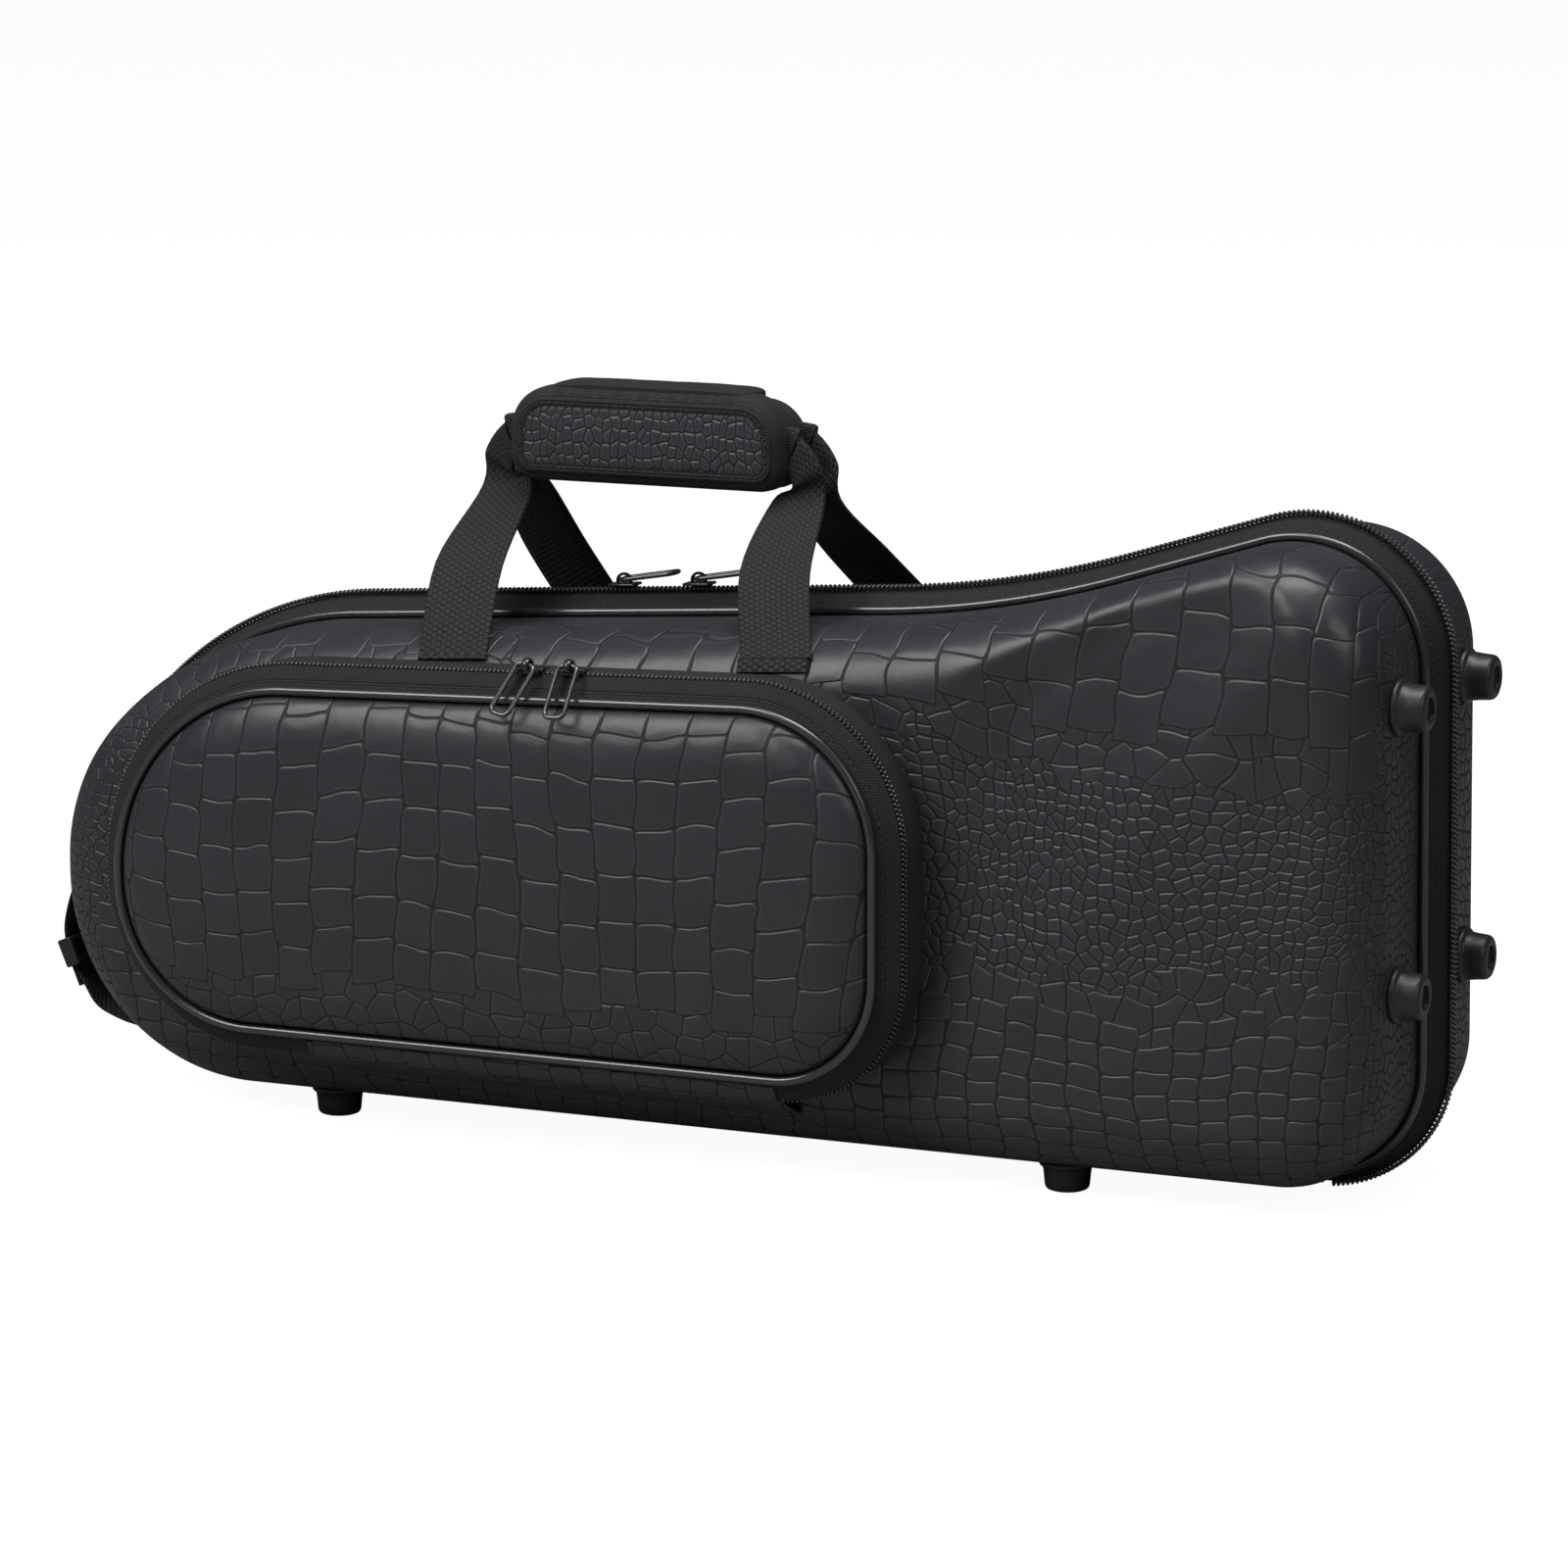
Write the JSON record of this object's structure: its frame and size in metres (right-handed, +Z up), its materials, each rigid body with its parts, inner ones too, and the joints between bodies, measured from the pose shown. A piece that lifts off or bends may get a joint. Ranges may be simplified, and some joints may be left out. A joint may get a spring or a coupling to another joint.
{
  "type": "trumpet case",
  "caption": "Contoured soft-sided trumpet case that opens like a book on a fabric hinge, with zipped halves, a zipped front pocket, a padded double handle and rubber feet.",
  "frame": {"origin": "on the floor, under the middle of the whole case with its pocket and pulls", "axes": "+X along the case towards the bell end, +Y towards the back half, so the pocket faces -Y, +Z up"},
  "size_m": [0.5924, 0.1832, 0.3027],
  "materials": {
    "shell_leather": "black embossed crocodile-grain synthetic leather, satin",
    "piping_vinyl": "black vinyl cord, soft gloss",
    "band_fabric": "black woven tape, matte",
    "zipper_coil": "black nylon coil, satin",
    "slider_metal": "black enamelled die casting, gloss",
    "pull_wire": "black enamelled wire, gloss",
    "webbing": "black woven webbing, matte",
    "grip_fabric": "black nylon cover over foam, matte",
    "grip_leather": "black embossed synthetic leather, satin",
    "hook_tape": "black hook and loop tape, matte",
    "foot_rubber": "black moulded rubber, satin",
    "buckle_plastic": "black moulded plastic, satin",
    "bed_plush": "black plush over foam, matte"
  },
  "bodies": {
    "back": {"back_shell": "shell_leather", "back_piping": "piping_vinyl", "back_edge_band": "band_fabric", "back_zip_tape": "band_fabric", "back_zip_teeth": "zipper_coil", "back_hinge_tape": "band_fabric", "back_bottom_feet": "foot_rubber", "back_end_feet": "foot_rubber", "back_handle_strap": "webbing", "instrument_bed": "bed_plush", "rear_grip_pad": "grip_fabric", "grip_loop_patch": "hook_tape"},
    "lid": {"front_shell": "shell_leather", "front_piping": "piping_vinyl", "front_edge_band": "band_fabric", "front_zip_tape": "band_fabric", "front_zip_teeth": "zipper_coil", "front_hinge_tape": "band_fabric", "front_bottom_feet": "foot_rubber", "front_end_feet": "foot_rubber", "front_handle_strap": "webbing", "lid_padding": "bed_plush", "front_grip_pad": "grip_fabric", "grip_binding": "webbing", "grip_panel": "grip_leather", "end_strap_backing": "webbing", "end_strap": "webbing", "end_strap_tab": "webbing", "end_strap_buckle": "buckle_plastic", "pocket_gusset": "band_fabric", "pocket_wall_teeth": "zipper_coil", "pocket_hinge_lower": "shell_leather"},
    "grip_closure": {"grip_flap": "grip_fabric", "grip_hook_patch": "hook_tape"},
    "pocket_lid": {"pocket_face": "shell_leather", "pocket_piping": "piping_vinyl", "pocket_face_band": "band_fabric", "pocket_face_teeth": "zipper_coil", "pocket_hinge_upper": "shell_leather"},
    "main_slider_left_body": {"main_slider_left": "slider_metal"},
    "main_slider_right_body": {"main_slider_right": "slider_metal"},
    "main_pull_left_body": {"main_pull_left": "pull_wire"},
    "main_pull_right_body": {"main_pull_right": "pull_wire"},
    "pocket_slider_left_body": {"pocket_slider_left": "slider_metal"},
    "pocket_slider_right_body": {"pocket_slider_right": "slider_metal"},
    "pocket_pull_left_body": {"pocket_pull_left": "pull_wire"},
    "pocket_pull_right_body": {"pocket_pull_right": "pull_wire"}
  },
  "joints": [
    {"name": "lid_hinge", "type": "hinge", "parent": "back", "child": "lid", "pos_m": [-0.00025, 0.01964, 0.0023], "axis": [1, 0, 0], "range_deg": [0, 110]},
    {"name": "grip_flap_hinge", "type": "hinge", "parent": "lid", "child": "grip_closure", "pos_m": [-0.04125, 0.00664, 0.3003], "axis": [1, 0, 0], "range_deg": [0, 115]},
    {"name": "pocket_hinge", "type": "hinge", "parent": "lid", "child": "pocket_lid", "pos_m": [-0.04975, -0.07036, 0.0352], "axis": [1, 0, 0], "range_deg": [0, 95]},
    {"name": "main_slide_left", "type": "slide", "parent": "back", "child": "main_slider_left_body", "axis": [-0.9977, 0, -0.0675], "range_m": [0, 0.09]},
    {"name": "main_slide_right", "type": "slide", "parent": "back", "child": "main_slider_right_body", "axis": [0.9977, 0, 0.0675], "range_m": [0, 0.055]},
    {"name": "main_pull_left_hinge", "type": "hinge", "parent": "main_slider_left_body", "child": "main_pull_left_body", "pos_m": [-0.05753, 0.01964, 0.222], "axis": [0, -1, 0], "range_deg": [0, 150]},
    {"name": "main_pull_right_hinge", "type": "hinge", "parent": "main_slider_right_body", "child": "main_pull_right_body", "pos_m": [-0.02453, 0.01964, 0.22424], "axis": [0, -1, 0], "range_deg": [0, 150]},
    {"name": "pocket_slide_left", "type": "slide", "parent": "pocket_lid", "child": "pocket_slider_left_body", "axis": [-0.9995, 0, -0.0318], "range_m": [0, 0.09]},
    {"name": "pocket_slide_right", "type": "slide", "parent": "pocket_lid", "child": "pocket_slider_right_body", "axis": [0.9995, 0, 0.0318], "range_m": [0, 0.065]},
    {"name": "pocket_pull_left_hinge", "type": "hinge", "parent": "pocket_slider_left_body", "child": "pocket_pull_left_body", "pos_m": [-0.05439, -0.07551, 0.20119], "axis": [-1, 0, 0], "range_deg": [0, 130]},
    {"name": "pocket_pull_right_hinge", "type": "hinge", "parent": "pocket_slider_right_body", "child": "pocket_pull_right_body", "pos_m": [-0.03639, -0.07551, 0.20176], "axis": [-1, 0, 0], "range_deg": [0, 130]}
  ]
}
